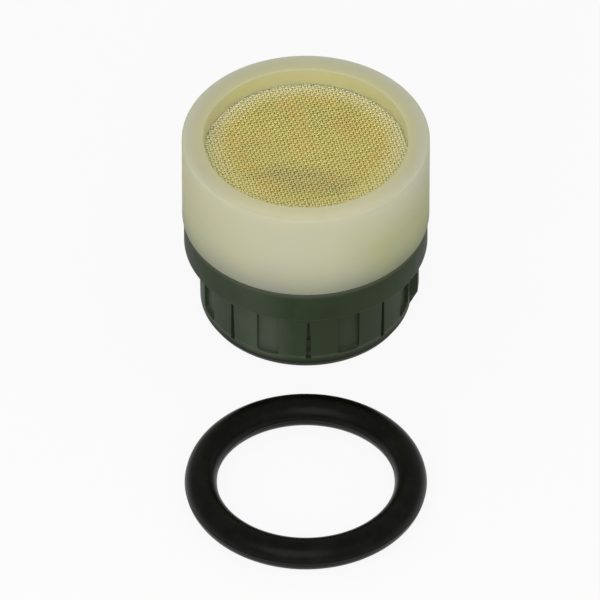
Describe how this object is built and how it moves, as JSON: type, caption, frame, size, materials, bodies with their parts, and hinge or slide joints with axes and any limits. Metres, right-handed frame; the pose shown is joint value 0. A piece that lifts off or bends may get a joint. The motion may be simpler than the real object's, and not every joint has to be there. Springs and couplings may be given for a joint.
{
  "type": "tap aerator",
  "caption": "Drop-in tap aerator insert: pale plastic jacket over fine brass outlet screens, dark green inlet body with slotted skirt, and a black rubber sealing washer lying beside it.",
  "frame": {"origin": "on the insert's axis, in the plane of its inlet rim, on which it stands and against which the washer seals", "axes": "+Z along the insert's axis from the inlet rim towards the outlet screens; the taken-off washer lies towards -Y"},
  "size_m": [0.0216, 0.0462, 0.0188],
  "materials": {
    "jacket_plastic": "natural cream acetal, slightly translucent, satin",
    "body_plastic": "dark green moulded plastic, semi-gloss",
    "screen_brass": "fine woven brass wire",
    "inner_plastic": "off-white moulded plastic",
    "washer_rubber": "black moulded rubber, smooth"
  },
  "bodies": {
    "root": {"outlet_jacket": "jacket_plastic", "outlet_screen": "screen_brass", "outer_spacer_ring": "inner_plastic", "middle_screen": "screen_brass", "inner_spacer_ring": "inner_plastic", "inner_screen": "screen_brass", "deflector": "inner_plastic", "jet_plate": "inner_plastic", "regulator_cup": "inner_plastic", "regulator_ring": "washer_rubber", "inlet_strainer": "screen_brass", "strainer_ring": "body_plastic", "inlet_body": "body_plastic", "sealing_washer": "washer_rubber"}
  },
  "joints": []
}
